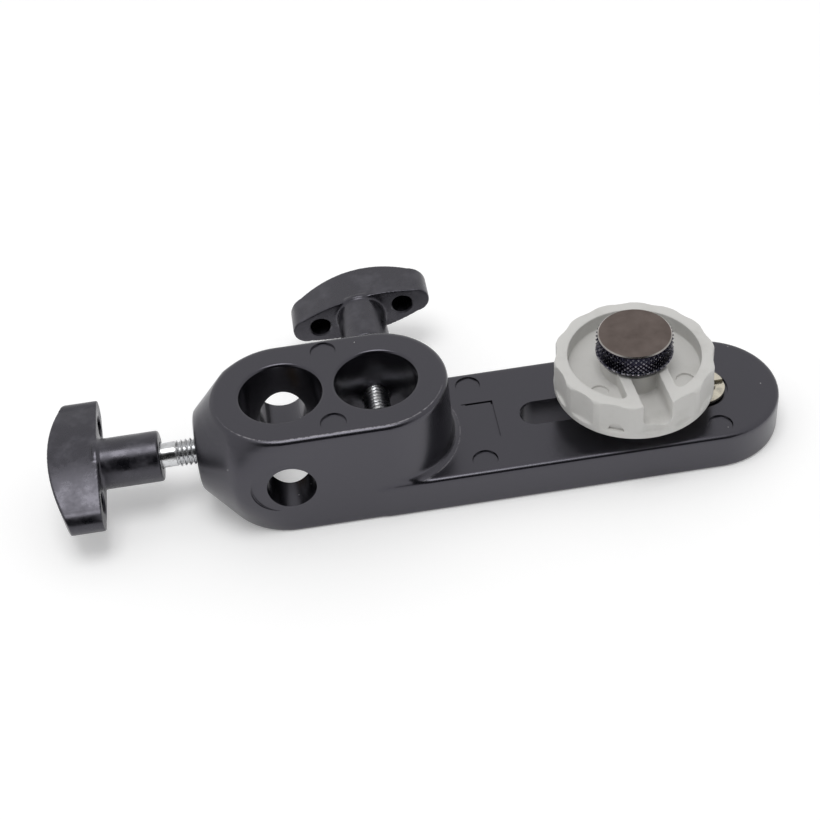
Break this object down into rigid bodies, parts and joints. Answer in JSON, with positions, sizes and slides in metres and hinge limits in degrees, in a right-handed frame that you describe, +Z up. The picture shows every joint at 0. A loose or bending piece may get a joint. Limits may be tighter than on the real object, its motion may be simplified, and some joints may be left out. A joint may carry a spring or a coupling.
{
  "type": "camera mounting bracket",
  "caption": "Die-cast camera bracket: arm with two spigot sockets and tee clamp screws, slotted plate with grey lock wheel, knurled thumb screw and reducer bushing.",
  "frame": {"origin": "on the underside, midway between the two spigot socket axes", "axes": "+X along the slotted plate, away from the left clamp screw; +Y towards the rear clamp screw; +Z up, along the socket axes"},
  "size_m": [0.1619, 0.0653, 0.0288],
  "materials": {
    "powder_coat": "satin black powder coat on die-cast aluminium",
    "black_nylon": "moulded glass-filled nylon, satin",
    "grey_acetal": "moulded light grey plastic, satin",
    "zinc_plate": "bright zinc-plated steel",
    "black_nickel": "black nickel plate, turned face and diamond knurl",
    "pale_nickel": "pale nickel plate",
    "brass": "plain turned brass"
  },
  "bodies": {
    "bracket": {"bracket_body": "powder_coat", "reducer_bushing": "pale_nickel"},
    "left_tip": {"left_clamp_tip": "brass"},
    "left_clamp": {"left_clamp_knob": "black_nylon", "left_clamp_stud": "zinc_plate"},
    "rear_tip": {"rear_clamp_tip": "brass"},
    "rear_clamp": {"rear_clamp_knob": "black_nylon", "rear_clamp_stud": "zinc_plate"},
    "slot_slider": {"slot_washer": "zinc_plate"},
    "wheel_carrier": {"wheel_insert": "brass"},
    "wheel": {"lock_wheel": "grey_acetal"},
    "screw_carrier": {"thumb_screw_washer": "zinc_plate"},
    "thumb_screw": {"thumb_screw_head": "black_nickel", "thumb_screw_stud": "zinc_plate"}
  },
  "joints": [
    {"name": "left_clamp_travel", "type": "slide", "parent": "bracket", "child": "left_tip", "axis": [1, 0, 0], "range_m": [-0.009, 0.0075]},
    {"name": "left_clamp_turn", "type": "hinge", "parent": "left_tip", "child": "left_clamp", "pos_m": [-0.0381, 0, 0.0133], "axis": [1, 0, 0], "range_deg": [-3245, 2705]},
    {"name": "rear_clamp_travel", "type": "slide", "parent": "bracket", "child": "rear_tip", "axis": [0, -1, 0], "range_m": [-0.0095, 0.0075]},
    {"name": "rear_clamp_turn", "type": "hinge", "parent": "rear_tip", "child": "rear_clamp", "pos_m": [0.01035, 0.0237, 0.0133], "axis": [0, -1, 0], "range_deg": [-3425, 2705]},
    {"name": "slot_travel", "type": "slide", "parent": "bracket", "child": "slot_slider", "axis": [1, 0, 0], "range_m": [-0.0219, 0.0025]},
    {"name": "wheel_lift", "type": "slide", "parent": "slot_slider", "child": "wheel_carrier", "axis": [0, 0, 1], "range_m": [-0.0032, 0.003]},
    {"name": "wheel_turn", "type": "hinge", "parent": "wheel_carrier", "child": "wheel", "pos_m": [0.067, 0, 0.0184], "axis": [0, 0, 1], "continuous": true},
    {"name": "screw_reach", "type": "slide", "parent": "wheel_carrier", "child": "screw_carrier", "axis": [0, 0, 1], "range_m": [-0.0002, 0.006]},
    {"name": "screw_turn", "type": "hinge", "parent": "screw_carrier", "child": "thumb_screw", "pos_m": [0.067, 0, 0.0262], "axis": [0, 0, 1], "range_deg": [-61.7, 1705.8]}
  ],
  "couplings": [
    {"joint": "left_clamp_turn", "follows": "left_clamp_travel", "rad_per_m": 6283.2},
    {"joint": "rear_clamp_turn", "follows": "rear_clamp_travel", "rad_per_m": 6283.2},
    {"joint": "screw_turn", "follows": "screw_reach", "rad_per_m": 4947.4}
  ]
}
